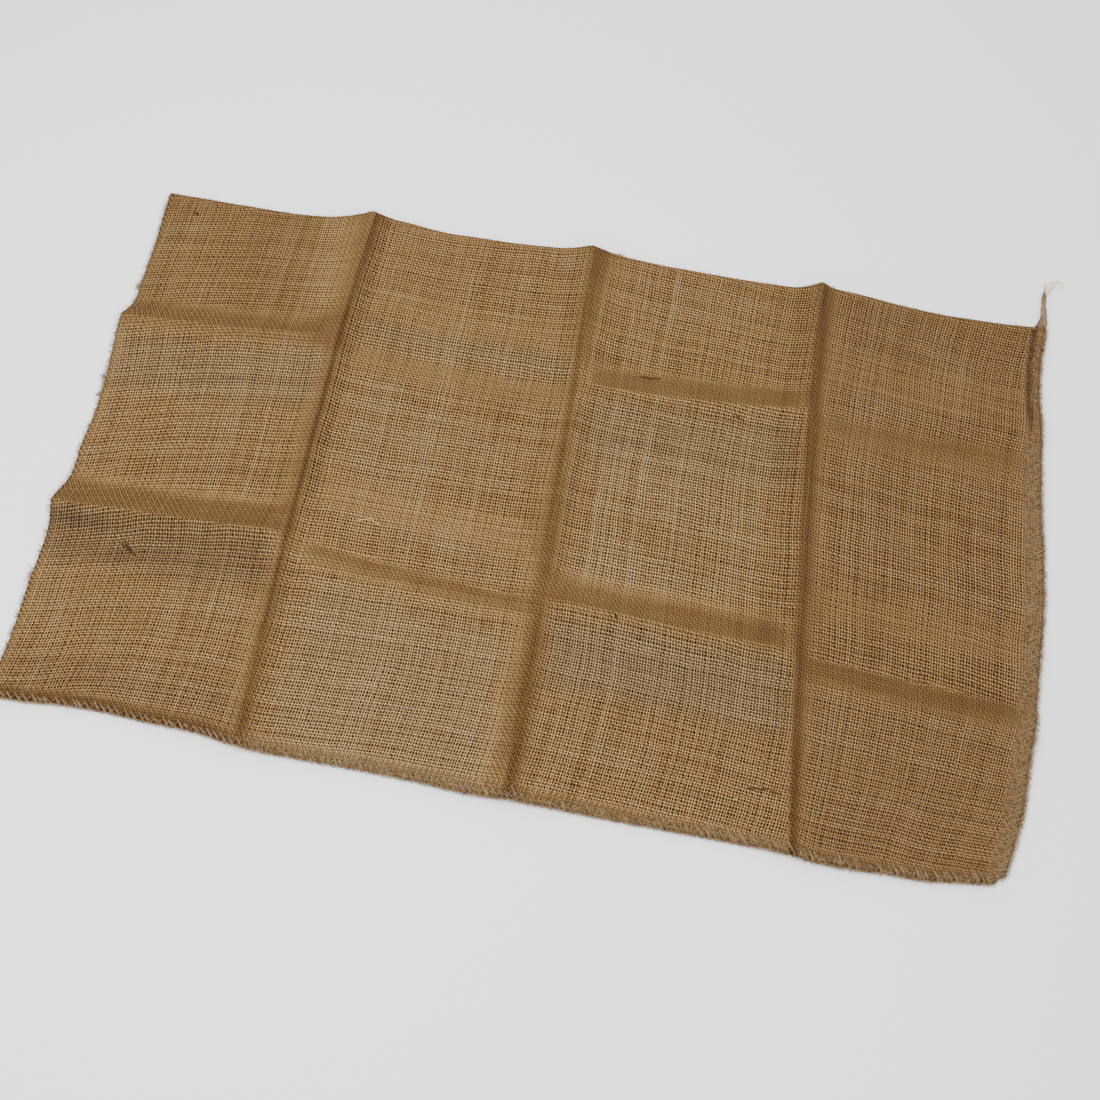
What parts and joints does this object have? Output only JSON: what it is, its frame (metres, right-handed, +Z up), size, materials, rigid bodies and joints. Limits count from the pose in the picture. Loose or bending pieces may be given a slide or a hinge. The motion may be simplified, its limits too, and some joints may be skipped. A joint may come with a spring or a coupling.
{
  "type": "empty jute sack",
  "caption": "Empty jute sack lying flat, mouth open at one end, folded along one side, sewn over and over along the other side and the far end, with packing creases.",
  "frame": {"origin": "on the floor, under the middle of the sack's cloth, which rests on its underside at z = 0", "axes": "+X along the sack from its open mouth to its sewn end, +Y across it from the sewn side to the folded side, +Z up"},
  "size_m": [0.82, 0.5493, 0.0233],
  "materials": {
    "jute_cloth": "coarse open plain weave of undyed jute, matt golden brown, uneven yarns and small see-through holes",
    "jute_twine": "loosely twisted undyed jute twine, matt, paler and hairier than the cloth"
  },
  "bodies": {
    "root": {"sack_cloth": "jute_cloth", "sewing_tail": "jute_twine"}
  },
  "joints": []
}
